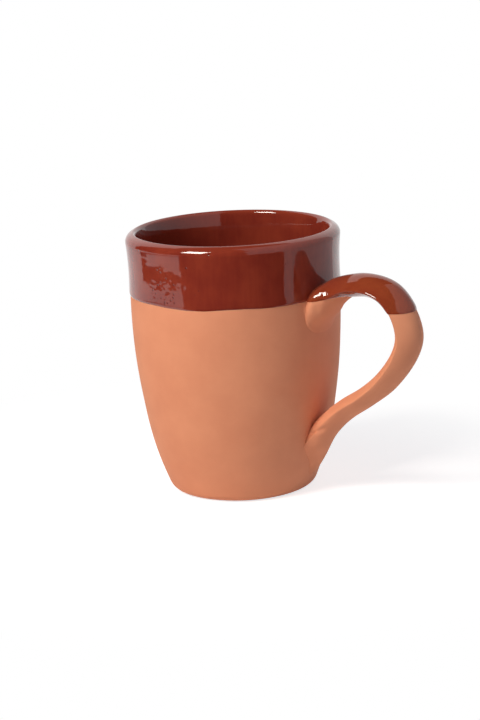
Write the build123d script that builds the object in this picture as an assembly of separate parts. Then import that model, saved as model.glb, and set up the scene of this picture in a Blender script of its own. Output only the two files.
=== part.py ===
from build123d import *
import os

# A red clay mug: a thrown cup with a pulled strap handle, dipped rim-down in brown glaze.
# Millimetres, +Z up. The origin is the middle of the foot, on the surface that the mug stands on.
# The handle points along +X, and the XZ plane is the mug's plane of symmetry.

# Cup: outside of the bare clay, as corners from the foot up, before they are softened into arcs
HEIGHT = 103.0  # to the top of the glazed lip
FOOT_RADIUS = 28.3
FOOT_ROUND = 4.5
HEEL_RADIUS = 35.45
HEEL_Z = 18.85
BELLY_RADIUS = 39.95
BELLY_Z = 48.7
SHOULDER_RADIUS = 41.2
SHOULDER_DROP = 30.25  # below the top of the mug
NECK_RADIUS = 40.6
NECK_DROP = 13.0
RIM_RADIUS = 41.55
SOFTENING = 0.95  # how much of the room between two corners their arcs take up

# Cup: wall, floor, lip and foot
WALL = 4.2
FLOOR = 6.5
FLOOR_ROUND = 11.0  # inside, from the floor up into the wall
LIP_INNER_ROUND = 0.8
LIP_OUTER_DROP = 2.9  # how far down the soft outer rounding of the lip reaches
DISH_RADIUS = 19.0  # hollow in the middle of the foot, so that the mug doesn't rock
DISH_DEPTH = 1.2

# Glaze: a glass skin inside, over the lip and down the outside to the dip line
GLAZE = 0.45
BAND = 24.0  # height of the glazed band, from the top of the mug to the dip line
GLAZE_ROLL = 1.1  # height over which the glaze thins out at the dip line
HANDLE_RUN = 2.0  # how much lower the dip line lies at the outside of the handle than at the wall

# Handle: its two ends, spread and pressed on to the wall. DROP is measured down from the top of the
# mug, Z up from the foot, and OUT from the face of the wall behind that end of the handle.
UPPER_SEAT_DROP = 28.2
UPPER_SEAT_WIDTH = 22.5
UPPER_SEAT_HEIGHT = 16.0
UPPER_FLARE_OUT = 4.4  # where the end has drawn in to the root of the strap
UPPER_FLARE_DROP = 25.6
UPPER_FLARE_WIDTH = 16.5
UPPER_FLARE_HEIGHT = 11.4
LOWER_SEAT_Z = 17.0
LOWER_SEAT_WIDTH = 16.5
LOWER_SEAT_HEIGHT = 24.0
LOWER_FLARE_OUT = 6.5
LOWER_FLARE_Z = 25.8
LOWER_FLARE_WIDTH = 15.2
LOWER_FLARE_HEIGHT = 12.0
SEAT_DEPTH = 0.6  # how far the end sections lie behind the face of the wall

# Handle: the strap between its ends, and the stations of its centreline
SPRING_OUT = 9.3  # where the strap has sprung clear of its upper end
SPRING_DROP = 21.0
SPRING_WIDTH = 14.2
SPRING_THICKNESS = 7.6
CREST_OUT = 19.3
CREST_DROP = 17.8
BEND_OUT = 29.4  # where the arch turns down
BEND_DROP = 20.7
GRIP_OUT = 37.1  # furthest out
GRIP_DROP = 35.5
LEG_OUT = 34.2  # where the lower leg starts to run straight back to the cup
LEG_Z = 48.9
KNEE_OUT = 15.8  # where the leg turns down to its lower end
KNEE_Z = 35.7
KNEE_WIDTH = 15.2
KNEE_THICKNESS = 9.2
STRAP_SECTIONS = 8  # cross-sections from the spring to the knee

# Slip: the film of liquid clay that sticks the handle on
SLIP = 0.5

clay_top = HEIGHT - GLAZE
lip_start = clay_top - LIP_OUTER_DROP  # the wall ends and the lip's outer rounding starts
inner_start = clay_top - LIP_INNER_ROUND
inner_radius = RIM_RADIUS - WALL
crest_radius = inner_radius + LIP_INNER_ROUND
dip_line = HEIGHT - BAND
side = Plane.XZ


def softened(corners):
    """A line along the corners, with an arc in place of each one between the two ends."""
    points = [Vector(*corner) for corner in corners]
    rooms = [(b - a).length / 2 for a, b in zip(points, points[1:])]
    rooms[0], rooms[-1] = rooms[0] * 1.5, rooms[-1] * 1.5  # an end stretch has one arc, not two
    edges, start = [], points[0]
    for index, corner in enumerate(points[1:-1]):
        reach = SOFTENING * min(rooms[index], rooms[index + 1])
        arriving = (corner - points[index]).normalized()
        leaving = (points[index + 2] - corner).normalized()
        edges.append(Line(start, corner - arriving * reach))
        start = corner + leaving * reach
        edges.append(TangentArc(edges[-1] @ 1, start, tangent=arriving))
    return Wire(edges + [Line(start, points[-1])])


wall_corners = [
    (FOOT_RADIUS, 0),
    (HEEL_RADIUS, HEEL_Z),
    (BELLY_RADIUS, BELLY_Z),
    (SHOULDER_RADIUS, HEIGHT - SHOULDER_DROP),
    (NECK_RADIUS, HEIGHT - NECK_DROP),
]


def outer_wall(extra=0.0):
    """The outside of the wall as a line from the foot up to the lip, moved out by extra."""
    corners = [(radius + extra, height) for radius, height in wall_corners]
    return softened(corners + [(RIM_RADIUS + extra, lip_start)])


def share_at(line, height):
    """The share of its length at which a rising line passes a height."""
    low, high = 0.0, 1.0
    while high - low > 1e-9:
        middle = (low + high) / 2
        low, high = (middle, high) if (line @ middle).Y < height else (low, middle)
    return low


clay_wall = outer_wall()


def off_wall(out, height):
    """A point a distance out from the wall, on the handle's side."""
    return Vector((clay_wall @ share_at(clay_wall, height)).X + out, height)


def inner_wall(extra=0.0):
    """The inside of the wall as a line from the floor up to the lip, moved inwards by extra."""
    corners = []
    for radius, height in wall_corners:
        level_wall = WALL / (clay_wall % share_at(clay_wall, height)).Y
        corners.append((radius - level_wall - extra, height))
    line = softened(corners + [(inner_radius - extra, inner_start)])
    return line.trim(share_at(line, FLOOR), 1)


def lip_outside(extra=0.0):
    """The soft outer rounding of the lip, from the wall up to the crest."""
    rounding = (RIM_RADIUS - crest_radius + extra, LIP_OUTER_DROP + extra)
    return EllipticalCenterArc((crest_radius, lip_start), *rounding, start_angle=0, arc_size=90)


def lip_inside(extra=0.0):
    """The tight inner rounding of the lip, from the crest down to the inner wall."""
    return CenterArc((crest_radius, inner_start), LIP_INNER_ROUND + extra, 90, 90)


def turned(outline, rounded):
    """A closed outline, its named corners rounded, turned about the mug's axis."""
    face = make_face([edge for line in outline for edge in line.edges()])
    for corner, radius in rounded:
        face = fillet(face.vertices().sort_by_distance(Vector(*corner))[0], radius)
    return Rot(Z=180) * revolve(side * face, Axis.Z)  # its seam lies away from the handle


def cup_body():
    """The thrown cup: wall, lip, floor and a slightly dished foot, turned in one piece."""
    inside = inner_wall()
    outline = [
        Line((0, FLOOR), inside @ 0),
        inside,
        lip_inside(),
        lip_outside(),
        clay_wall,
        Line(clay_wall @ 0, (DISH_RADIUS, 0)),
        TangentArc((0, DISH_DEPTH), (DISH_RADIUS, 0), tangent=(1, 0)),
        Line((0, DISH_DEPTH), (0, FLOOR)),
    ]
    return turned(outline, [(clay_wall @ 0, FOOT_ROUND), (inside @ 0, FLOOR_ROUND)])


def liner_glaze():
    """The glaze inside the cup, from the floor up to the lip's inner edge."""
    clay = inner_wall()
    glass = inner_wall(GLAZE)
    corner_at = share_at(glass, FLOOR + GLAZE)
    corner = glass @ corner_at
    outline = [
        Line((0, FLOOR), clay @ 0),
        clay,
        Line(clay @ 1, glass @ 1),
        glass.trim(corner_at, 1),
        Line(corner, (0, corner.Y)),
        Line((0, corner.Y), (0, FLOOR)),
    ]
    return turned(outline, [(clay @ 0, FLOOR_ROUND), (corner, FLOOR_ROUND - GLAZE)])


def band_coat():
    """The glaze over the lip and down the outside to the dip line, before the handle passes through."""
    glass_wall = outer_wall(GLAZE)
    clay_edge_at = share_at(clay_wall, dip_line)
    clay_edge = clay_wall @ clay_edge_at
    full_at = share_at(glass_wall, dip_line + GLAZE_ROLL)
    full = glass_wall @ full_at
    outline = [
        clay_wall.trim(clay_edge_at, 1),
        lip_outside(),
        lip_inside(),
        Line(lip_inside() @ 1, lip_inside(GLAZE) @ 1),
        lip_inside(GLAZE),
        lip_outside(GLAZE),
        glass_wall.trim(full_at, 1),
        TangentArc(full, clay_edge, tangent=(glass_wall % full_at) * -1),
    ]
    return turned(outline, [])


def filled_cup(extra=0.0):
    """The cup's outside, filled in and moved out by extra, which the handle is seated on."""
    wall = outer_wall(extra)
    outline = [
        Line((0, 0), wall @ 0),
        wall,
        Line(wall @ 1, (0, lip_start)),
        Line((0, lip_start), (0, 0)),
    ]
    return turned(outline, [])


def seat(height, width):
    """The middle of one handle end, behind the wall's face, and the wall's outward direction there."""
    share = share_at(clay_wall, height)
    point = clay_wall @ share
    along = clay_wall % share
    outward = Vector(along.Y, -along.X)
    bulge = width**2 / (8 * point.X)  # of the round wall, across the handle's end
    return point - outward * (bulge + SEAT_DEPTH), outward


def half_oval(middle, facing, width, height, extra):
    """One side of a cross-section of the strap, at a point of the side view and square to a direction."""
    across = Plane(side.from_local_coords(middle), x_dir=(0, 1, 0), z_dir=(facing.X, 0, facing.Y))
    radii = (width / 2 + extra, height / 2 + extra)
    curve = EllipticalCenterArc((0, 0), *radii, start_angle=270, arc_size=180)
    return across * make_face([curve, Line(curve @ 1, curve @ 0)])


def strap_form(extra=0.0):
    """The whole strap, swollen by extra: ovals lofted along its centreline, on one side and mirrored."""
    upper, upper_outward = seat(HEIGHT - UPPER_SEAT_DROP, UPPER_SEAT_WIDTH)
    lower, lower_outward = seat(LOWER_SEAT_Z, LOWER_SEAT_WIDTH)
    upper_face = off_wall(0, HEIGHT - UPPER_SEAT_DROP).X
    lower_face = off_wall(0, LOWER_SEAT_Z).X
    upper_flare = Vector(upper_face + UPPER_FLARE_OUT, HEIGHT - UPPER_FLARE_DROP)
    spring = Vector(upper_face + SPRING_OUT, HEIGHT - SPRING_DROP)
    crest = Vector(upper_face + CREST_OUT, HEIGHT - CREST_DROP)
    bend = Vector(upper_face + BEND_OUT, HEIGHT - BEND_DROP)
    grip = Vector(upper_face + GRIP_OUT, HEIGHT - GRIP_DROP)
    leg = Vector(lower_face + LEG_OUT, LEG_Z)
    knee = Vector(lower_face + KNEE_OUT, KNEE_Z)
    lower_flare = Vector(lower_face + LOWER_FLARE_OUT, LOWER_FLARE_Z)
    line = Spline(upper, upper_flare, spring, crest, bend, grip, leg, knee, lower_flare, lower)

    upper_turn = line % line.param_at_point(upper_flare) + upper_outward
    lower_turn = line % line.param_at_point(lower_flare) - lower_outward
    upper_end = upper - upper_outward * extra
    lower_end = lower - lower_outward * extra
    first = line.param_at_point(spring)
    step = (line.param_at_point(knee) - first) / (STRAP_SECTIONS - 1)
    ovals = [
        half_oval(upper_end, upper_outward, UPPER_SEAT_WIDTH, UPPER_SEAT_HEIGHT, extra),
        half_oval(upper_flare, upper_turn, UPPER_FLARE_WIDTH, UPPER_FLARE_HEIGHT, extra),
    ]
    for index in range(STRAP_SECTIONS):
        share = first + step * index
        along = index / (STRAP_SECTIONS - 1)
        width = SPRING_WIDTH + (KNEE_WIDTH - SPRING_WIDTH) * along
        thickness = SPRING_THICKNESS + (KNEE_THICKNESS - SPRING_THICKNESS) * along
        ovals.append(half_oval(line @ share, line % share, width, thickness, extra))
    ovals += [
        half_oval(lower_flare, lower_turn, LOWER_FLARE_WIDTH, LOWER_FLARE_HEIGHT, extra),
        half_oval(lower_end, lower_outward * -1, LOWER_SEAT_WIDTH, LOWER_SEAT_HEIGHT, extra),
    ]
    one_side = loft(ovals)
    return one_side + mirror(one_side, side)


def handle_coat(strap):
    """The glaze on the handle's arch, down to a dip line that falls away from the wall."""
    at_wall = off_wall(0, dip_line)
    at_grip = off_wall(GRIP_OUT, dip_line - HANDLE_RUN)
    fall = (at_wall - at_grip).normalized()
    dipped = Plane(side.from_local_coords(at_wall), x_dir=(0, 1, 0), z_dir=(-fall.Y, 0, fall.X))
    arch = split(strap_form(GLAZE) - filled_cup(GLAZE), dipped, keep=Keep.BOTTOM)
    return arch - strap


strap = strap_form()
slip_seams = (strap & filled_cup(SLIP)) - filled_cup()
upper_slip, lower_slip = slip_seams.solids().sort_by(Axis.Z, reverse=True)

nodes = {
    "cup_body": cup_body(),
    "handle": strap - filled_cup(SLIP),
    "upper_slip_joint": upper_slip,
    "lower_slip_joint": lower_slip,
    "liner_glaze": liner_glaze(),
    "band_glaze": band_coat() - strap,
    "handle_glaze": handle_coat(strap),
}

os.makedirs("parts", exist_ok=True)
for name, solid in nodes.items():
    export_step(solid, f"parts/{name}.step")
    box = solid.bounding_box()
    print(name, len(solid.solids()), round(solid.volume), [round(v, 2) for v in (*box.min, *box.max)])
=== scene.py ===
# %% [markdown]
# # A red clay mug, dressed over its CAD frame
# The mug was turned on a wheel, given a pulled handle, fired, dipped rim-down in a brown glaze and fired
# again. The CAD frame holds its sizes. Blender adds what solids leave out: the traces of a hand in the
# shapes, and the finish of bare clay and of glass. Every piece is made in the frame's own place, in metres.

# %% Load the frame
import math

import bmesh
import bpy
from mathutils import Matrix, Quaternion, Vector, noise
from mathutils.bvhtree import BVHTree


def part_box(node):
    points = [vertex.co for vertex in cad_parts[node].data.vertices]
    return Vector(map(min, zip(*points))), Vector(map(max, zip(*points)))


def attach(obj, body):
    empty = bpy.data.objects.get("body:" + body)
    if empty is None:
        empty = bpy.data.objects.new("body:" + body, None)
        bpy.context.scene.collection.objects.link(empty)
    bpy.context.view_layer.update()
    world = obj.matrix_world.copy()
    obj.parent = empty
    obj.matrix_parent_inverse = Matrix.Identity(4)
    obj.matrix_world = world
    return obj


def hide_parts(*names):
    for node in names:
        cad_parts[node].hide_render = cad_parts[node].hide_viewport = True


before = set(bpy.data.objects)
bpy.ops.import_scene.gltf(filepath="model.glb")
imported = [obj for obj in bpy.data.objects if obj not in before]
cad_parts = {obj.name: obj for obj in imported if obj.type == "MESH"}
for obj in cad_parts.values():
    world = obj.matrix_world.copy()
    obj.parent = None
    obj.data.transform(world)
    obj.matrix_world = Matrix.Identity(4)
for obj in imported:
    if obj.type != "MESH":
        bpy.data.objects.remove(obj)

MM = 0.001
UP = Vector((0, 0, 1))
scene = bpy.context.scene
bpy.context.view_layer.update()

# %% [markdown]
# ## The camera
# The photograph was taken with a long lens from a little above the rim, with the handle turned to the right
# of the picture. A camera can be set by three turns, but a place, a point to aim at and a small roll are
# easier to read and to correct.

# %% Camera
CAMERA_PLACE = Vector((482.6, -664.3, 252.6)) * MM
CAMERA_AIM = Vector((0.48, 0.35, 49.8)) * MM
CAMERA_ROLL = math.radians(-2.69)
CAMERA_LENS = 107.2  # millimetres, for the default sensor of 36 mm on the picture's long side

camera = bpy.data.objects.new("camera", bpy.data.cameras.new("camera"))
camera.data.lens = CAMERA_LENS
camera.location = CAMERA_PLACE
aimed = (CAMERA_AIM - CAMERA_PLACE).to_track_quat("-Z", "Y")
camera.rotation_euler = (aimed @ Quaternion((0, 0, 1), CAMERA_ROLL)).to_euler()
scene.collection.objects.link(camera)
scene.camera = camera
print("camera is", round((CAMERA_AIM - CAMERA_PLACE).length, 3), "m from the mug")

# %% [markdown]
# ## What the wheel makes
# The cup, the glaze inside it and the glaze on its rim were all turned, or run off a turned shape, so each
# is one outline spun about the axis. The outline could be typed in again, point by point. It is cut out of
# the CAD solid instead, with a plane through the axis on the side away from the handle, so the spun piece
# can't drift from the frame. Corners that have to stay crisp get a crease, because a subdivision rounds
# every edge that has none.

# %% Cut an outline out of a turned solid, and spin it
SPIN_STEPS = 144
MERGE = 0.002 * MM
CRISP = math.radians(50)  # edges that turn by more than this stay corners


def cut_through(bm, across, **clear):
    """Cut everything with a plane through the origin, and clear away one side or both."""
    everything = bm.verts[:] + bm.edges[:] + bm.faces[:]
    bmesh.ops.bisect_plane(bm, geom=everything, dist=MERGE, plane_co=(0, 0, 0), plane_no=across, **clear)


def turned_outline(node):
    """The edges in which the XZ plane cuts a turned CAD node, on the side away from the handle."""
    bm = bmesh.new()
    bm.from_mesh(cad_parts[node].data)
    bmesh.ops.remove_doubles(bm, verts=bm.verts, dist=MERGE)
    cut_through(bm, (1, 0, 0), clear_outer=True)
    cut_through(bm, (0, 1, 0), clear_inner=True, clear_outer=True)
    bmesh.ops.remove_doubles(bm, verts=bm.verts, dist=MERGE)
    return bm


def spin_outline(bm):
    """The outline turned once about the axis, closed, with its faces pointing out."""
    outline = bm.verts[:] + bm.edges[:]
    bmesh.ops.spin(
        bm, geom=outline, cent=(0, 0, 0), axis=UP, angle=2 * math.pi, steps=SPIN_STEPS, use_merge=True
    )
    bmesh.ops.remove_doubles(bm, verts=bm.verts, dist=MERGE)
    bmesh.ops.recalc_face_normals(bm, faces=bm.faces)
    return bm


def is_corner(edge):
    """Whether the shape turns sharply at an edge."""
    return edge.is_manifold and edge.calc_face_angle() > CRISP


def keep_crisp(bm, chosen):
    """Edges that the function chosen picks are creased, and shaded as edges."""
    crease = bm.edges.layers.float.new("crease_edge")
    for edge in bm.edges:
        if chosen(edge):
            edge[crease] = 1.0
            edge.smooth = False


# %% [markdown]
# ## The potter's hand
# Fingers that draw a wall up leave it thinner at the lip. The frame's wall is even, so the outline's inside
# is leaned out near the top, the same for clay and glaze, and the glaze inside the lip then catches some of
# the sky. And no thrown wall is a true circle: it strays in and out by about the thickness of a fingernail,
# in long soft swells. A plain wave would repeat itself, so the swells are noise. Each turned piece is moved
# by the same ones, so that glaze and clay stay together.

# %% Thin lip, and swells in the wall
LIP_THIN = 1.0 * MM  # how much thinner the wall is at the top
LIP_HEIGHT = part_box("band_glaze")[1].z
LIP_TAPER = 7 * MM  # the height over which the wall thins
LIP_MIDDLE, LIP_INSIDE = 39.9 * MM, 37.2 * MM  # radii, from where the lip stays to where it moves in full
LIP_STEP = 1.0 * MM  # no edge of the outline is longer there
SWELL = 0.2 * MM  # the most that the wall strays
SWELL_SPAN = 24 * MM  # from one swell to the next
WALL_RADIUS = 41 * MM  # about the wall's own, where a swell has its full size


def clamp(value):
    """A value held between 0 and 1."""
    return min(max(value, 0.0), 1.0)


def soft_step(value):
    """0 below 0, 1 above 1, and a smooth climb between."""
    value = clamp(value)
    return value * value * (3 - 2 * value)


def thin_lip(bm):
    """The inside of an outline leans out towards the lip."""
    foot = LIP_HEIGHT - LIP_TAPER
    while True:
        near = [edge for edge in bm.edges if max(vert.co.z for vert in edge.verts) > foot]
        coarse = [edge for edge in near if edge.calc_length() > LIP_STEP]
        if not coarse:
            break
        bmesh.ops.subdivide_edges(bm, edges=coarse, cuts=1)
    for vert in bm.verts:
        inside = soft_step((LIP_MIDDLE + vert.co.x) / (LIP_MIDDLE - LIP_INSIDE))
        vert.co.x -= LIP_THIN * inside * (max(vert.co.z - foot, 0.0) / LIP_TAPER) ** 2
    return bm


def swell_by_hand(bm):
    """Every point moves in or out from the axis with the swell at its turn and height."""
    for vert in bm.verts:
        level = Vector((vert.co.x, vert.co.y, 0))
        if level.length > MERGE:
            outwards = level.normalized()
            spot = outwards * WALL_RADIUS + UP * vert.co.z
            share = min(level.length / WALL_RADIUS, 1.0)
            vert.co += outwards * noise.noise(spot / SWELL_SPAN) * SWELL * share


print("a spin step is", round(2 * math.pi * WALL_RADIUS / SPIN_STEPS / MM, 2), "mm at the wall")

# %% [markdown]
# ## From mesh to piece
# Every piece is finished the same way: shaded smooth, softened by one level of subdivision, and the CAD node
# it stands for is hidden. The subdivision could be applied to the mesh, but as a modifier it stays one number
# that is easy to change. Clay and glaze are solid, so a piece should have no open edge, and they are counted.

# %% Make a piece of the mug
SOFTEN_LEVELS = 1


def make_piece(name, bm, node):
    """A bmesh becomes the object that stands for one CAD node and moves with the mug."""
    for face in bm.faces:
        face.smooth = True
    open_edges = sum(not edge.is_manifold for edge in bm.edges)
    mesh = bpy.data.meshes.new(name)
    bm.to_mesh(mesh)
    bm.free()
    piece = bpy.data.objects.new(name, mesh)
    scene.collection.objects.link(piece)
    soften = piece.modifiers.new("soften", "SUBSURF")
    soften.levels = SOFTEN_LEVELS
    soften.render_levels = SOFTEN_LEVELS
    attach(piece, "root")
    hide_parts(node)
    print(name, "has", len(mesh.polygons), "faces before it is softened, and", open_edges, "open edges")
    return piece


# %% [markdown]
# ## The cup
# The cup is one turned piece: dished foot, round belly, straight neck, soft lip. After the spin it is kept
# as a shape to measure on, because the handle's ends have to lie on this wall and not on a perfect one.

# %% Spin the cup
WELL_OUTSIDE = 200 * MM  # along X, past the handle

cup_bm = spin_outline(thin_lip(turned_outline("cup_body")))
swell_by_hand(cup_bm)
keep_crisp(cup_bm, is_corner)
cup_surface = BVHTree.FromBMesh(cup_bm)
clay_cup = make_piece("clay_cup", cup_bm, "cup_body")


def on_wall(across, height):
    """The point of the cup's outside on the handle's side, at a place across and a height, and its normal."""
    start = Vector((WELL_OUTSIDE, across, height))
    hit, normal, _, _ = cup_surface.ray_cast(start, Vector((-1, 0, 0)))
    return hit, normal


print("wall at mid height, in mm:", [round(value / MM, 2) for value in on_wall(0, LIP_HEIGHT / 2)[0]])

# %% [markdown]
# ## The glaze inside and round the rim
# Glaze is a skin of glass under half a millimetre thick. Inside, it was poured in and out, and it is one
# even skin. On the rim the mug was dipped, and the glaze stopped at a line that is nearly level: it wanders
# a little, and its edge is a rounded roll. The spun edge is level, so its lowest points are moved up and
# down.

# %% Spin the liner and the band
DIP_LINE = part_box("band_glaze")[0].z
DIP_WANDER = 0.45 * MM
DIP_SPAN = 21 * MM
DIP_FADE = 7 * MM  # above the edge, over which the wander dies out
SHORT_WAVES = 3.7  # how many short waves of the edge go into a long one
SHORT_SHARE = 0.35  # how high they are, as a share of the long ones


def dip_wander(point):
    """How far above its level line the dip stopped, at the turn of a point round the mug."""
    spot = Vector((point.x, point.y, 0)).normalized() * WALL_RADIUS / DIP_SPAN
    return (noise.noise(spot) + SHORT_SHARE * noise.noise(spot * SHORT_WAVES)) * DIP_WANDER


liner_bm = spin_outline(thin_lip(turned_outline("liner_glaze")))
swell_by_hand(liner_bm)
keep_crisp(liner_bm, is_corner)
liner_coat = make_piece("liner_coat", liner_bm, "liner_glaze")

band_bm = spin_outline(thin_lip(turned_outline("band_glaze")))
keep_crisp(band_bm, is_corner)
for vert in band_bm.verts:
    nearness = max(0.0, 1 - (vert.co.z - DIP_LINE) / DIP_FADE)
    vert.co.z += dip_wander(vert.co) * nearness
swell_by_hand(band_bm)
band_coat = make_piece("band_coat", band_bm, "band_glaze")

# %% [markdown]
# ## The handle
# A handle like this is pulled: wet clay is drawn through the fist into a strap, bent into an ear, and its
# two ends are pressed and smeared on to the wall. A curve with a bevel could give the strap, but not its
# spread ends. So rings are laid along it and bridged. Each ring is set by two points of the handle's side
# view, one on the outside of the bend and one on the inside, which is how the shape is read off a picture.
# The strap is thin at its two edges, and they lie nearer to the inside of the bend. At both ends the rings
# grow fuller, or flatter, and bend round with the wall.

# %% Stations along the handle
# Outside of the bend along X and up Z, inside of the bend along X and up Z, width across, all in
# millimetres. Then how far the ring bends with the wall, from 0 to 1, and how full it is: 0 is an oval,
# 1 half a box, -1 a lens.
HANDLE_STATIONS = [
    (38.4, 83.2, 38.4, 63.4, 20.6, 1.0, 0.5),  # upper end, behind the face of the wall
    (41.0, 83.8, 40.7, 64.9, 21.2, 1.0, 0.5),
    (42.6, 84.3, 41.6, 67.2, 21.4, 1.0, 0.5),  # edge of the lobe that the thumbs pressed
    (44.0, 85.0, 43.5, 69.8, 20.8, 1.0, 0.4),
    (45.2, 85.6, 45.9, 72.3, 18.8, 0.85, 0.2),
    (46.8, 86.4, 48.1, 75.0, 16.8, 0.5, -0.3),
    (48.8, 87.1, 50.5, 77.4, 15.7, 0.25, -0.6),  # root of the strap
    (53.2, 88.3, 54.3, 80.1, 15.5, 0.0, -0.9),
    (60.3, 89.3, 60.3, 81.3, 15.8, 0.0, -1.0),  # crest of the arch
    (73.5, 86.5, 68.3, 79.3, 16.1, 0.0, -1.0),
    (84.0, 67.7, 74.2, 67.3, 16.3, 0.0, -0.65),  # furthest out
    (71.8, 46.2, 65.1, 51.7, 16.1, 0.0, -0.55),
    (61.8, 38.5, 57.0, 45.0, 15.8, 0.0, -0.5),
    (52.3, 32.2, 48.0, 39.4, 15.6, 0.0, -0.45),  # lower leg
    (47.8, 28.4, 42.7, 35.4, 15.0, 0.0, -0.3),
    (43.5, 23.6, 38.0, 31.2, 14.2, 0.3, -0.2),  # knee, where the strap meets the wall
    (40.3, 18.2, 35.3, 28.6, 13.8, 0.7, -0.4),
    (36.0, 12.6, 33.3, 24.6, 14.0, 1.0, -0.8),  # tail, smeared down the wall
    (32.8, 8.2, 30.9, 19.0, 14.0, 1.0, -0.8),
    (29.4, 4.4, 28.6, 12.0, 14.0, 1.0, -0.8),  # lower end, behind the face of the wall
]
RING_GAP = 1.2  # millimetres


def smooth_rows(rows, spacing):
    """Rows of numbers, with a smooth curve of further rows between each two."""
    points = [Vector(row) for row in rows]
    gaps = [max((b - a).xy.length, (b - a).zw.length) for a, b in zip(points, points[1:])]
    steps = [(b - a) / gap for a, b, gap in zip(points, points[1:], gaps)]
    slopes = [steps[0]]
    for one, other, gap, next_gap in zip(steps, steps[1:], gaps, gaps[1:]):
        slopes.append((one * next_gap + other * gap) / (gap + next_gap))
    slopes.append(steps[-1])
    smooth = [points[0]]
    for index, gap in enumerate(gaps):
        start, end = points[index], points[index + 1]
        leave, arrive = start + slopes[index] * gap / 3, end - slopes[index + 1] * gap / 3
        between = max(round(gap / spacing), 1)
        for step in range(1, between + 1):
            t = step / between
            curve = start * (1 - t) ** 3 + leave * 3 * t * (1 - t) ** 2
            smooth.append(curve + arrive * 3 * t * t * (1 - t) + end * t**3)
    return smooth


handle_rows = smooth_rows(HANDLE_STATIONS, RING_GAP)
print("handle line has", len(handle_rows), "rings")

# %% [markdown]
# Each ring is a circle, given its section, stretched to the strap's width and thickness and turned so that
# it reaches from the inside point to the outside point. The rings are made one by one, bent with the wall,
# and joined by bridging each to the one before. The tail was dragged a little aside.

# %% Rings into a strap
RING_POINTS = 48
BOX_POWER = 1.1  # what a full ring adds to the power 2 of an oval
LENS_POWER = 1.3  # what a lens adds to the power 1 by which an oval thins towards its edges
LENS_SHIFT = 0.25  # how far a lens's edges lie towards the inside of the bend, in half thicknesses
TAIL_LEAN = 3.8 * MM  # how far aside the tail was dragged
TAIL_FROM, TAIL_END = 20.5 * MM, 11 * MM  # heights, between which it leans more and more


def ring_place(row):
    """The matrix that lays a unit circle into its place as one ring of the handle."""
    outside_x, outside_z, inside_x, inside_z, width = row[:5]
    outside, inside = Vector((outside_x, 0, outside_z)) * MM, Vector((inside_x, 0, inside_z)) * MM
    across, reach = Vector((0, width / 2 * MM, 0)), (outside - inside) / 2
    turned = Matrix((across, reach, across.cross(reach).normalized())).transposed().to_4x4()
    return Matrix.Translation((outside + inside) / 2) @ turned


def fill_ring(ring, full):
    """A unit circle gets the inner half of a box, or becomes a lens that is thin at its two edges."""
    thin = max(-full, 0.0)
    for vert in ring:
        power = 2 + BOX_POWER * max(full, 0.0) * (vert.co.y < 0)
        box = (abs(vert.co.x) ** power + abs(vert.co.y) ** power) ** (1 / power)
        reach = vert.co.y / box * abs(vert.co.y) ** (LENS_POWER * thin)
        vert.co = Vector((vert.co.x / box, reach + LENS_SHIFT * thin * (abs(reach) - 1), 0))


def press_on_wall(ring, share):
    """The sides of a pressed end move back as far as the round wall falls away there."""
    for vert in ring:
        middle, beside = on_wall(0, vert.co.z)[0], on_wall(vert.co.y, vert.co.z)[0]
        vert.co.x -= (middle.x - beside.x) * share


def bridge_rings(bm, rings):
    """Skin between rings of vertices, each to the one before, with the two ends filled."""
    loops = [list({edge for vert in ring for edge in vert.link_edges}) for ring in rings]
    for one, other in zip(loops, loops[1:]):
        bmesh.ops.bridge_loops(bm, edges=one + other)
    bmesh.ops.holes_fill(bm, edges=loops[0] + loops[-1], sides=0)
    bmesh.ops.recalc_face_normals(bm, faces=bm.faces)


def strap():
    """The whole handle as a closed mesh."""
    bm = bmesh.new()
    rings = []
    for row in handle_rows:
        bend, full = row[5:]
        ring = bmesh.ops.create_circle(bm, segments=RING_POINTS, radius=1)["verts"]
        fill_ring(ring, full)
        bmesh.ops.transform(bm, matrix=ring_place(row), verts=ring)
        for vert in ring:
            vert.co.y += TAIL_LEAN * soft_step((TAIL_FROM - vert.co.z) / (TAIL_FROM - TAIL_END))
        if bend > 0:
            press_on_wall(ring, clamp(bend))
        rings.append(ring)
    bridge_rings(bm, rings)
    return bm


handle_bm = strap()
print("strap has", len(handle_bm.verts), "points")

# %% [markdown]
# Thumbs left two short folds in the wet clay, one at the knee and one beside the upper lobe. A cut would be
# too sharp for them, so the skin is sunk along a line, most on the line and less to either side.

# %% Folds
# The two ends of a fold, then its depth at the start and its reach to either side. Millimetres.
FOLDS = [
    ((37.4, -6.4, 26.4), (43.6, -6.7, 28.7), 1.1, 1.5),  # at the knee
    ((44.3, -9.2, 77.0), (43.8, -9.4, 70.0), 0.4, 1.8),  # beside the lobe
]
FOLD_FADE = 0.5  # share of its depth that a fold loses from its start to its end


def press_fold(bm, start, end, depth, reach):
    """A short crease pressed into the skin between two places."""
    bm.normal_update()
    start, run = Vector(start) * MM, (Vector(end) - Vector(start)) * MM
    for vert in bm.verts:
        along = clamp((vert.co - start).dot(run) / run.length_squared)
        apart = (vert.co - start - run * along).length / (reach * MM)
        vert.co -= vert.normal * depth * MM * soft_step(1 - apart) * (1 - FOLD_FADE * along)


for fold in FOLDS:
    press_fold(handle_bm, *fold)
handle_surface = BVHTree.FromBMesh(handle_bm)
misses = [handle_surface.find_nearest(vert.co)[3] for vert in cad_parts["handle"].data.vertices]
print("CAD handle to this strap, in mm: at most", round(max(misses) / MM, 2))
pulled_handle = make_piece("pulled_handle", handle_bm, "handle")

# %% [markdown]
# ## The slip at the handle's ends
# The potter scores both faces, paints on liquid clay and presses the handle home. The slip squeezes out all
# round and is wiped into a small hollow fillet. It is modelled as a pad that follows the wall: rings of an
# ellipse, high under the handle and thin as a feather at the outer edge.

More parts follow.
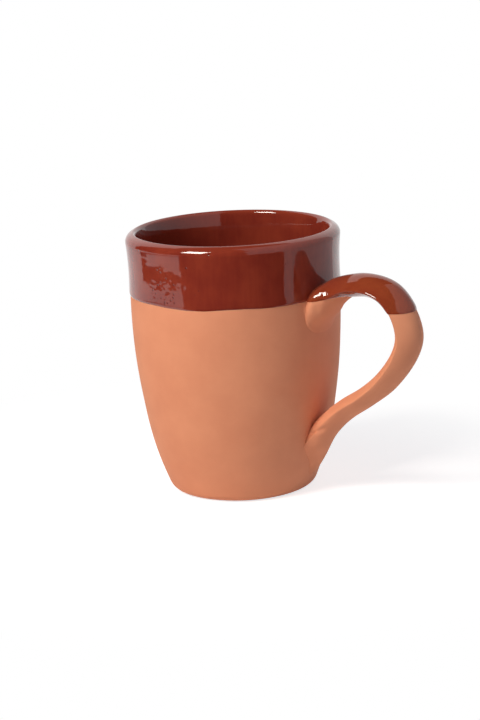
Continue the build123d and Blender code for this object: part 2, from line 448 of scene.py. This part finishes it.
# %% Slip pads
# Place across and height of the middle, then half width and half height of the handle's end. Millimetres.
UPPER_SEAT = (0.0, 75.8, 10.5, 7.9)
LOWER_SEAT = (1.6, 22.0, 4.6, 7.0)
# A ring's step out from the handle's end, and its rise from the wall. Millimetres.
SLIP_RINGS = [
    (-3.0, 0.2),  # under the handle
    (-0.4, 0.3),
    (0.1, 0.22),
    (0.35, 0.1),
    (0.6, 0.02),
    (0.9, -0.08),  # feather edge
    (0.5, -0.4),
    (-3.0, -0.4),  # inside the wall
]
SLIP_POINTS = 64


def slip_pad(across, height, half_width, half_height):
    """A pad on the wall round one end of the handle."""
    bm = bmesh.new()
    rings = []
    for step, rise in SLIP_RINGS:
        flat = Matrix.Diagonal(((half_width + step) * MM, (half_height + step) * MM, 1, 1))
        ring = bmesh.ops.create_circle(bm, segments=SLIP_POINTS, radius=1, matrix=flat)["verts"]
        for vert in ring:
            place, normal = on_wall(across * MM + vert.co.x, height * MM + vert.co.y)
            vert.co = place + normal * rise * MM
        rings.append(ring)
    bridge_rings(bm, rings)
    return bm


upper_slip = make_piece("upper_slip", slip_pad(*UPPER_SEAT), "upper_slip_joint")
lower_slip = make_piece("lower_slip", slip_pad(*LOWER_SEAT), "lower_slip_joint")

# %% [markdown]
# ## The glaze on the arch
# The same dip glazed the top of the handle. The coat is the strap once more, swollen by the thickness of the
# glaze and cut off at the dip line, which rises a little under the root of the arch and lies lower on the
# outside of the handle. The strap is bent by the run of the line before the cut and bent back after it, so
# that a straight cut leaves a wavy edge. The two open ends are filled, inside the clay, which makes the coat
# a closed shape.

# %% Coat the arch
GLAZE = 0.45 * MM
GLAZE_ROLL = 1.1 * MM  # the height over which its edge rounds off
ARCH_ROOT, ARCH_CREST = 54.5 * MM, 60 * MM  # along X
ARCH_RISE = 2.2 * MM  # how much higher the dip line is under the root of the arch than at the wall
ARCH_FALL = 4.2 * MM  # how much lower again at the outside of the handle
ARCH_WANDER = 0.6  # how much the line wanders on the handle, as a share of the band's wander
ARCH_WAVES = 3  # how many times shorter its waves are across the strap than round the cup
QUAD_CORNERS = 4

arch_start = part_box("handle_glaze")[0].x


def dip_level(point):
    """The height of the dip line at a point of the handle."""
    rise = ARCH_RISE * soft_step((point.x - arch_start) / (ARCH_ROOT - arch_start))
    fall = ARCH_FALL * soft_step((point.x - ARCH_ROOT) / (ARCH_CREST - ARCH_ROOT))
    wander = ARCH_WANDER * dip_wander(Vector((point.x, point.y * ARCH_WAVES, 0)))
    return DIP_LINE + rise - fall + wander


def is_round_a_cap(edge):
    """Whether an edge bounds one of the filled ends, which have many corners."""
    return max(len(face.verts) for face in edge.link_faces) > QUAD_CORNERS


coat_bm = strap()
coat_bm.normal_update()
for vert in coat_bm.verts:
    thick = clamp((vert.co.z - dip_level(vert.co)) / GLAZE_ROLL)
    vert.co += vert.normal * GLAZE * math.sqrt(thick * (2 - thick))
for vert in coat_bm.verts:
    vert.co.z -= dip_level(vert.co)
cut_through(coat_bm, UP, clear_inner=True)
for vert in coat_bm.verts:
    vert.co.z += dip_level(vert.co)
bmesh.ops.holes_fill(coat_bm, edges=[edge for edge in coat_bm.edges if edge.is_boundary], sides=0)
bmesh.ops.recalc_face_normals(coat_bm, faces=coat_bm.faces)
keep_crisp(coat_bm, is_round_a_cap)
arch_coat = make_piece("arch_coat", coat_bm, "handle_glaze")

# %% [markdown]
# ## Finishes
# A colour is written as the hex value that a picture editor shows. Blender's sockets want linear light, so
# one function turns one into the other. Another adds a node, sets it and links it, which keeps each material
# a short list of what its surface does.

# %% Colours and nodes


def linear(colour):
    """An sRGB hex colour as linear red, green and blue, with full alpha."""
    parts = [int(colour[place : place + 2], 16) / 255 for place in (1, 3, 5)]
    return [part / 12.92 if part <= 0.04045 else ((part + 0.055) / 1.055) ** 2.4 for part in parts] + [1.0]


def add_node(tree, kind, inputs=None, **settings):
    """A node of one kind, with its settings, and its inputs set to a value or linked to an output."""
    node = tree.nodes.new(kind)
    for name, value in settings.items():
        setattr(node, name, value)
    for name, value in (inputs or {}).items():
        if isinstance(value, bpy.types.NodeSocket):
            tree.links.new(value, node.inputs[name])
        else:
            node.inputs[name].default_value = value
    return node


def new_material(name):
    """An empty node material: its tree, and the output that the shader goes to."""
    material = bpy.data.materials.new(name)
    material.use_nodes = True
    material.node_tree.nodes.clear()
    return material, material.node_tree, add_node(material.node_tree, "ShaderNodeOutputMaterial")


print("the middle grey #808080 is", round(linear("#808080")[0], 3), "in linear light")

# %% [markdown]
# ### Terracotta
# Bare low-fired red clay, wiped smooth with a sponge while it turned. It is matt and slightly chalky, its
# colour drifts in soft patches where the kiln was hotter, and close up it shows fine grit and the faint level
# lines of the sponge. A picture of clay could be wrapped round the mug, but noise of a real size has no seams
# and fits the handle as well.

# %% Terracotta
CLAY_PALE = "#e39670"
CLAY_DEEP = "#dd8f6a"
CLAY_ROUGHNESS = 0.74
CLAY_IOR = 1.45
PATCH = 19 * MM
PATCH_STOPS = (0.34, 0.66)  # of the noise, where the clay is deep and where it is pale
# Real grit is finer. A pixel of the picture is 0.4 mm, and the grit is as coarse as it needs to show.
GRIT, GRIT_DEPTH, GRIT_STRENGTH = 0.55 * MM, 0.06 * MM, 0.25
SPONGE_LINE, SPONGE_DEPTH, SPONGE_STRENGTH = 1.7 * MM, 0.12 * MM, 0.3
SPONGE_RUN = 125 * MM  # the length of one line


def terracotta(name, pale, deep):
    """Bare fired clay between two shades."""
    material, tree, output = new_material(name)
    place = add_node(tree, "ShaderNodeTexCoord").outputs["Object"]
    patches = add_node(tree, "ShaderNodeTexNoise", {
        "Vector": place, "Scale": 1 / PATCH, "Detail": 4.0, "Roughness": 0.6,
    })
    colour = add_node(tree, "ShaderNodeValToRGB", {"Fac": patches.outputs["Fac"]})
    for stop, at, shade in zip(colour.color_ramp.elements, PATCH_STOPS, (deep, pale)):
        stop.position = at
        stop.color = linear(shade)
    grit = add_node(tree, "ShaderNodeTexNoise", {"Vector": place, "Scale": 1 / GRIT, "Detail": 2.0})
    lines = add_node(tree, "ShaderNodeMapping", {
        "Vector": place, "Scale": (1 / SPONGE_RUN, 1 / SPONGE_RUN, 1 / SPONGE_LINE),
    })
    sponge = add_node(tree, "ShaderNodeTexNoise", {
        "Vector": lines.outputs["Vector"], "Scale": 1.0, "Detail": 2.0,
    })
    fine = add_node(tree, "ShaderNodeBump", {
        "Height": grit.outputs["Fac"], "Strength": GRIT_STRENGTH, "Distance": GRIT_DEPTH,
    })
    bump = add_node(tree, "ShaderNodeBump", {
        "Height": sponge.outputs["Fac"], "Strength": SPONGE_STRENGTH, "Distance": SPONGE_DEPTH,
        "Normal": fine.outputs["Normal"],
    })
    shader = add_node(tree, "ShaderNodeBsdfPrincipled", {
        "Base Color": colour.outputs["Color"], "Roughness": CLAY_ROUGHNESS, "IOR": CLAY_IOR,
        "Normal": bump.outputs["Normal"],
    })
    tree.links.new(shader.outputs["BSDF"], output.inputs["Surface"])
    return material


fired_terracotta = terracotta("fired_terracotta", CLAY_PALE, CLAY_DEEP)
fired_slip = terracotta("fired_slip", CLAY_PALE, CLAY_DEEP)
for piece in (clay_cup, pulled_handle):
    piece.data.materials.append(fired_terracotta)
for piece in (upper_slip, lower_slip):
    piece.data.materials.append(fired_slip)
print("clay finishes:", fired_terracotta.name, "and", fired_slip.name)

# %% [markdown]
# ### Burst bubbles
# Where the dipped glaze lay thick, bubbles rose through it in the kiln and burst. They crowd in two places
# on the band, and left pinholes. Pinholes could be modelled, but they are only about a millimetre across, so
# they are drawn as cells of a pattern: in each cell chance says whether a bubble burst there, and the
# distance from its middle gives the hole. Each hole is sunk in the skin, and its colour is darkened towards
# its middle, which is painted shade in the pit.

# %% Burst bubbles
BUBBLE = 1.5 * MM  # from one burst bubble to the next
BUBBLE_MIDDLES = (Vector((-4.0, -41.8, 87.0)) * MM, Vector((9.8, -40.8, 88.5)) * MM)
BUBBLE_REACHES = (10 * MM, 4.5 * MM)
BUBBLE_CORE = 0.4  # share of the reach within which the crowd is full
RARE_LIMIT = 0.985  # the chance over which a bubble burst, far from the crowds
CROWD_EASE = 0.45  # how much lower that limit is in a crowd
HOLE_EDGE, HOLE_FLOOR = 0.34, 0.12  # shares of a cell, from a bubble's middle


def burst_bubbles(tree, place):
    """Where bubbles crowd, from 0 to 1, and the holes they left: many in two places, few elsewhere."""
    crowd = 0.0
    for middle, reach in zip(BUBBLE_MIDDLES, BUBBLE_REACHES):
        away = add_node(tree, "ShaderNodeVectorMath", {0: place, 1: middle}, operation="DISTANCE")
        near = add_node(tree, "ShaderNodeMapRange", {
            "Value": away.outputs["Value"], "From Min": reach, "From Max": reach * BUBBLE_CORE,
        }, interpolation_type="SMOOTHSTEP")
        nearest = add_node(tree, "ShaderNodeMath", {
            0: crowd, 1: near.outputs["Result"],
        }, operation="MAXIMUM")
        crowd = nearest.outputs[0]
    cells = add_node(tree, "ShaderNodeTexVoronoi", {"Vector": place, "Scale": 1 / BUBBLE})
    chance = add_node(tree, "ShaderNodeSeparateColor", {0: cells.outputs["Color"]})
    limit = add_node(tree, "ShaderNodeMath", {
        0: crowd, 1: -CROWD_EASE, 2: RARE_LIMIT,
    }, operation="MULTIPLY_ADD")
    burst = add_node(tree, "ShaderNodeMath", {
        0: chance.outputs["Red"], 1: limit.outputs[0],
    }, operation="GREATER_THAN")
    pit = add_node(tree, "ShaderNodeMapRange", {
        "Value": cells.outputs["Distance"], "From Min": HOLE_EDGE, "From Max": HOLE_FLOOR,
    }, interpolation_type="SMOOTHSTEP")
    hole = add_node(tree, "ShaderNodeMath", {
        0: burst.outputs[0], 1: pit.outputs["Result"],
    }, operation="MULTIPLY")
    return crowd, hole.outputs[0]


print("bubbles crowd in", len(BUBBLE_MIDDLES), "places")

# %% [markdown]
# ### Brown glaze
# A clear iron glaze over red clay: glass, so it is glossy and throws sharp reflections, and so thin that its
# colour is the colour of the clay seen through it, darker where it lies thick. It lies thinner on the handle
# and on the lip. It never dries quite even: it has soft clouds, long streaks where it ran, and a rippled
# skin that bends what it mirrors. It could be a coat on the clay's own material, but the glaze is a piece
# with an edge of its own, so it has its own.

# %% Brown glaze
GLAZE_THICK, GLAZE_THIN = "#7c2b20", "#8e3826"
ARCH_THICK, ARCH_THIN = "#863521", "#934226"
# painted shade: a hole is darkened towards its middle, as shade in a pit, and the next number says how much
PAINTED_PIT_SHADE = "#571a14"
PIT_SHADE_SHARE = 0.8  # how much of a hole's colour shows
GLAZE_ROUGHNESS = 0.05
GLAZE_IOR = 1.6
CLOUD = 11 * MM
CLOUD_FROM, CLOUD_FULL = 0.3, 0.7
STREAK = (1.6 * MM, 1.6 * MM, 14 * MM)  # the glaze ran upwards, because the mug was dipped rim-down
STREAK_FROM, STREAK_FULL = 0.35, 0.75
STREAK_SHARE = 0.35  # how strong the streaks are beside the clouds
THIN_SHARE = 0.7  # how far clouds and streaks go from the thick shade to the thin one
LIP_FADE = 2.5 * MM  # below the top, over which the glaze thins on the lip
RIPPLE = 7 * MM
BOIL = 3.2 * MM  # shorter ripples, where bubbles rose
BOIL_HEIGHT = 1.4  # as a share of the ripples
HOLE_DEPTH = 1.2  # as a share of the ripples
SKIN_DEPTH, SKIN_STRENGTH = 0.2 * MM, 0.5
# A Mix node has inputs for every kind of value under the same names, so its colours go by number.
MIX_SHARE, MIX_ONE, MIX_OTHER, MIX_COLOUR = 0, 6, 7, 2


def brown_glaze(name, thick, thin, painted_pit_shade=None):
    """Glossy iron glaze over red clay, between two shades, with holes in painted shade where one is given."""
    material, tree, output = new_material(name)
    place = add_node(tree, "ShaderNodeTexCoord").outputs["Object"]
    height = add_node(tree, "ShaderNodeSeparateXYZ", {0: place})
    clouds = add_node(tree, "ShaderNodeTexNoise", {"Vector": place, "Scale": 1 / CLOUD, "Detail": 3.0})
    cloudy = add_node(tree, "ShaderNodeMapRange", {
        "Value": clouds.outputs["Fac"], "From Min": CLOUD_FROM, "From Max": CLOUD_FULL,
    }, interpolation_type="SMOOTHSTEP")
    drawn_out = add_node(tree, "ShaderNodeMapping", {
        "Vector": place, "Scale": [1 / size for size in STREAK],
    })
    streaks = add_node(tree, "ShaderNodeTexNoise", {
        "Vector": drawn_out.outputs["Vector"], "Scale": 1.0, "Detail": 2.0,
    })
    streaky = add_node(tree, "ShaderNodeMapRange", {
        "Value": streaks.outputs["Fac"], "From Min": STREAK_FROM, "From Max": STREAK_FULL,
    }, interpolation_type="SMOOTHSTEP")
    uneven = add_node(tree, "ShaderNodeMath", {
        0: streaky.outputs["Result"], 1: STREAK_SHARE, 2: cloudy.outputs["Result"],
    }, operation="MULTIPLY_ADD")
    thinned = add_node(tree, "ShaderNodeMath", {0: uneven.outputs[0], 1: THIN_SHARE}, operation="MULTIPLY")
    body = add_node(tree, "ShaderNodeMix", {
        MIX_SHARE: thinned.outputs[0], MIX_ONE: linear(thick), MIX_OTHER: linear(thin),
    }, data_type="RGBA")
    lip = add_node(tree, "ShaderNodeMapRange", {
        "Value": height.outputs["Z"], "From Min": LIP_HEIGHT - LIP_FADE, "From Max": LIP_HEIGHT,
    }, interpolation_type="SMOOTHSTEP")
    colour = add_node(tree, "ShaderNodeMix", {
        MIX_SHARE: lip.outputs["Result"], MIX_ONE: body.outputs[MIX_COLOUR], MIX_OTHER: linear(thin),
    }, data_type="RGBA")
    ripples = add_node(tree, "ShaderNodeTexNoise", {"Vector": place, "Scale": 1 / RIPPLE, "Detail": 2.0})
    skin = ripples.outputs["Fac"]
    if painted_pit_shade:
        crowd, hole = burst_bubbles(tree, place)
        # painted shade in the holes
        dark = add_node(tree, "ShaderNodeMath", {0: hole, 1: PIT_SHADE_SHARE}, operation="MULTIPLY")
        colour = add_node(tree, "ShaderNodeMix", {
            MIX_SHARE: dark.outputs[0], MIX_ONE: colour.outputs[MIX_COLOUR], MIX_OTHER: linear(painted_pit_shade),
        }, data_type="RGBA")
        boil = add_node(tree, "ShaderNodeTexNoise", {"Vector": place, "Scale": 1 / BOIL, "Detail": 1.0})
        boiled = add_node(tree, "ShaderNodeMath", {0: boil.outputs["Fac"], 1: crowd}, operation="MULTIPLY")
        wavy = add_node(tree, "ShaderNodeMath", {
            0: boiled.outputs[0], 1: BOIL_HEIGHT, 2: skin,
        }, operation="MULTIPLY_ADD")
        pitted = add_node(tree, "ShaderNodeMath", {
            0: hole, 1: -HOLE_DEPTH, 2: wavy.outputs[0],
        }, operation="MULTIPLY_ADD")
        skin = pitted.outputs[0]
    bump = add_node(tree, "ShaderNodeBump", {
        "Height": skin, "Strength": SKIN_STRENGTH, "Distance": SKIN_DEPTH,
    })
    shader = add_node(tree, "ShaderNodeBsdfPrincipled", {
        "Base Color": colour.outputs[MIX_COLOUR], "Roughness": GLAZE_ROUGHNESS, "IOR": GLAZE_IOR,
        "Normal": bump.outputs["Normal"],
    })
    tree.links.new(shader.outputs["BSDF"], output.inputs["Surface"])
    return material


band_coat.data.materials.append(brown_glaze("dipped_iron_glaze", GLAZE_THICK, GLAZE_THIN, PAINTED_PIT_SHADE))
liner_coat.data.materials.append(brown_glaze("poured_iron_glaze", GLAZE_THICK, GLAZE_THIN))
arch_coat.data.materials.append(brown_glaze("thin_iron_glaze", ARCH_THICK, ARCH_THIN))
print("materials:", [material.name for material in bpy.data.materials])

# %% [markdown]
# ## The studio
# The mug stands on a white sweep in a white room, with a soft lamp to the left of the camera and a weak one
# far to the right. In front, where the camera stands, the room is dark, and the glaze shows that: it is pale
# where it mirrors the sweep on either side, and deep brown where it mirrors the dark. Places are given as a
# turn round the mug from the camera, to the right of the picture, which is how a photographer would say
# them.

# %% Places round the mug
camera_turn = math.atan2(CAMERA_PLACE.y, CAMERA_PLACE.x)


def round_the_mug(turn, reach, height):
    """A place in metres, at a turn in degrees from the camera towards the right of the picture."""
    angle = camera_turn + math.radians(turn)
    return Vector((math.cos(angle) * reach, math.sin(angle) * reach, height))


def stage_piece(name, bm, material):
    """A bmesh becomes part of the studio, which isn't part of the mug."""
    mesh = bpy.data.meshes.new(name)
    bm.to_mesh(mesh)
    bm.free()
    mesh.materials.append(material)
    piece = bpy.data.objects.new(name, mesh)
    scene.collection.objects.link(piece)
    return piece


print("the camera stands at", round(math.degrees(camera_turn), 1), "degrees from +X")

# %% [markdown]
# ### The white sweep
# A studio sweep is overexposed until it is plain white, and only the shadow near the mug is left. More light
# would do that, and burn out the mug too. Here the camera and mirror reflections see less of the paper the
# further it is from the mug, and a white glow in its place, so the shadow fades into white. The glow lights
# nothing, because rays that carry light round the room see the plain paper.

# %% White sweep
FLOOR_DROP = 0.05 * MM  # keeps the foot's flat face and the floor from fighting for the same place
SWEEP_HALF = 6.0  # metres
WHITE = "#ffffff"
PAPER = "#ebe9ea"
PAPER_NEAR = 0.68  # share of the paper that shows at the mug
PAPER_LIT = 0.4  # how bright the lit paper is by itself, which the glow makes up to white
PAPER_FROM, PAPER_GONE = 0.05, 0.18  # metres from the mug


def straight_rays(tree):
    """1 for rays from the camera, mirrors and glass, 0 for the light that fills a room."""
    ray = add_node(tree, "ShaderNodeLightPath").outputs
    direct = add_node(tree, "ShaderNodeMath", {
        0: ray["Is Camera Ray"], 1: ray["Is Glossy Ray"],
    }, operation="MAXIMUM")
    every = add_node(tree, "ShaderNodeMath", {
        0: direct.outputs[0], 1: ray["Is Transmission Ray"],
    }, operation="MAXIMUM")
    return every.outputs[0]


def white_sweep_paper():
    """Paper that fades into a white glow away from the mug."""
    material, tree, output = new_material("white_sweep_paper")
    straight = straight_rays(tree)
    place = add_node(tree, "ShaderNodeTexCoord").outputs["Object"]
    reach = add_node(tree, "ShaderNodeVectorMath", {0: place}, operation="LENGTH")
    left = add_node(tree, "ShaderNodeMapRange", {
        "Value": reach.outputs["Value"],
        "From Min": PAPER_FROM, "From Max": PAPER_GONE, "To Min": PAPER_NEAR, "To Max": 0.0,
    }, interpolation_type="SMOOTHSTEP")
    gone = add_node(tree, "ShaderNodeMath", {0: 1.0, 1: left.outputs["Result"]}, operation="SUBTRACT")
    hidden = add_node(tree, "ShaderNodeMath", {0: straight, 1: gone.outputs[0]}, operation="MULTIPLY")
    kept = add_node(tree, "ShaderNodeMath", {0: 1.0, 1: hidden.outputs[0]}, operation="SUBTRACT")
    colour = add_node(tree, "ShaderNodeVectorMath", {
        0: linear(PAPER)[:3], "Scale": kept.outputs[0],
    }, operation="SCALE")
    paper = add_node(tree, "ShaderNodeBsdfDiffuse", {"Color": colour.outputs["Vector"]})
    lit = add_node(tree, "ShaderNodeMath", {0: left.outputs["Result"], 1: PAPER_LIT}, operation="MULTIPLY")
    rest = add_node(tree, "ShaderNodeMath", {0: 1.0, 1: lit.outputs[0]}, operation="SUBTRACT")
    level = add_node(tree, "ShaderNodeMath", {0: straight, 1: rest.outputs[0]}, operation="MULTIPLY")
    glow = add_node(tree, "ShaderNodeEmission", {"Color": linear(WHITE), "Strength": level.outputs[0]})
    both = add_node(tree, "ShaderNodeAddShader", {0: paper.outputs[0], 1: glow.outputs[0]})
    tree.links.new(both.outputs[0], output.inputs["Surface"])
    return material


sweep_bm = bmesh.new()
under_the_foot = Matrix.Translation((0, 0, -FLOOR_DROP))
bmesh.ops.create_grid(sweep_bm, x_segments=1, y_segments=1, size=SWEEP_HALF, matrix=under_the_foot)
stage_piece("white_sweep", sweep_bm, white_sweep_paper())
print("the sweep is", 2 * SWEEP_HALF, "m wide")

# %% [markdown]
# ### The dark side of the room
# A glaze mirrors its whole room. This room is white behind the mug. It has dark walls and a dark ceiling
# round the camera, a table that ends not far to the left, and grey walls on the right. The white is the
# world's own, and each of the others is a strip swept round the mug. The strips are hidden from everything
# but mirror reflections, so they take no light from the mug.

# %% What the glaze mirrors
DARK_CLOTH = "#150f0e"
GREY_CLOTH = "#cbc6c8"
ROOM_REACH = 2.2  # metres, also the height of the ceiling
STRIP_STEPS = 24
HIDDEN_FROM = ("camera", "diffuse", "transmission", "volume_scatter", "shadow")
# Turns in degrees from the camera, then the two edges of the strip, each a reach and a height in metres.
DARK_STRIPS = {
    "dark_front_floor": ((-57, 52), (0.05, 0), (ROOM_REACH, 0)),
    "dark_front_wall": ((-125, 14), (ROOM_REACH, 0), (ROOM_REACH, ROOM_REACH)),
    "dark_front_ceiling": ((-125, 18), (ROOM_REACH, ROOM_REACH), (0.01, ROOM_REACH)),
    "dark_back_ceiling": ((130, 235), (1.4, ROOM_REACH), (0.01, ROOM_REACH)),
    "dark_table_edge": ((-112, -57), (0.35, 0), (0.435, 0)),
}
GREY_STRIPS = {
    "grey_right_floor": ((52, 130), (0.15, 0), (ROOM_REACH, 0)),
    "grey_right_wall": ((14, 130), (ROOM_REACH, 0), (ROOM_REACH, ROOM_REACH)),
    "grey_right_ceiling": ((18, 130), (ROOM_REACH, ROOM_REACH), (0.01, ROOM_REACH)),
}


def mirrored_strips(strips, name, shade):
    """Strips of cloth of one shade that only the mirror reflections see."""
    cloth, tree, output = new_material(name)
    surface = add_node(tree, "ShaderNodeEmission", {"Color": linear(shade), "Strength": 1.0})
    tree.links.new(surface.outputs[0], output.inputs["Surface"])
    for strip, (turns, near, far) in strips.items():
        bm = bmesh.new()
        ends = [bm.verts.new(round_the_mug(turns[0], *place)) for place in (near, far)]
        line = bm.edges.new(ends)
        swept = math.radians(turns[1] - turns[0])
        bmesh.ops.spin(bm, geom=ends + [line], cent=(0, 0, 0), axis=UP, angle=swept, steps=STRIP_STEPS)
        piece = stage_piece(strip, bm, cloth)
        for rays in HIDDEN_FROM:
            setattr(piece, "visible_" + rays, False)
    print(name, "makes", ", ".join(strips))


mirrored_strips(DARK_STRIPS, "black_cloth", DARK_CLOTH)
mirrored_strips(GREY_STRIPS, "grey_cloth", GREY_CLOTH)

# %% [markdown]
# ### The light
# The room gives an even, cool light from all round. The main lamp is a square of cloth with a warm light
# behind it, large enough to round the cup softly, and small enough to leave the two short glints on the lip.
# A weak lamp behind, on the right, lifts the edges of the cup and the handle there. The glaze would mirror
# it, so it is hidden from mirror reflections.

# %% Room light and lamps
WARM_LIGHT, COOL_LIGHT = "#fff9f0", "#f2f2ff"
ROOM_LIGHT = 0.17
LAMP_AT, LAMP_SIZE, LAMP_WATTS = (-50, 1.15, 1.2), 0.56, 24  # turn in degrees, reach and height in metres
FILL_AT, FILL_SIZE, FILL_WATTS = (128, 1.5, 0.6), 1.2, 6

world = bpy.data.worlds.new("white_room")
scene.world = world
world.use_nodes = True
tree = world.node_tree
tree.nodes.clear()
fill = add_node(tree, "ShaderNodeBackground", {"Color": linear(COOL_LIGHT), "Strength": ROOM_LIGHT})
seen = add_node(tree, "ShaderNodeBackground", {"Color": linear(WHITE), "Strength": 1.0})
room = add_node(tree, "ShaderNodeMixShader", {0: straight_rays(tree), 1: fill.outputs[0], 2: seen.outputs[0]})
add_node(tree, "ShaderNodeOutputWorld", {"Surface": room.outputs[0]})


def soft_lamp(name, place, size, watts, colour):
    """A square lamp that faces the mug."""
    lamp = bpy.data.objects.new(name, bpy.data.lights.new(name, "AREA"))
    lamp.data.size = size
    lamp.data.energy = watts
    lamp.data.color = linear(colour)[:3]
    lamp.location = round_the_mug(*place)
    lamp.rotation_euler = (CAMERA_AIM - lamp.location).to_track_quat("-Z", "Y").to_euler()
    scene.collection.objects.link(lamp)
    print(name, "is", round((lamp.location - CAMERA_AIM).length, 2), "m from the mug")
    return lamp


soft_lamp("soft_lamp", LAMP_AT, LAMP_SIZE, LAMP_WATTS, WARM_LIGHT)
soft_lamp("fill_lamp", FILL_AT, FILL_SIZE, FILL_WATTS, COOL_LIGHT).visible_glossy = False
scene.view_settings.view_transform = "Standard"
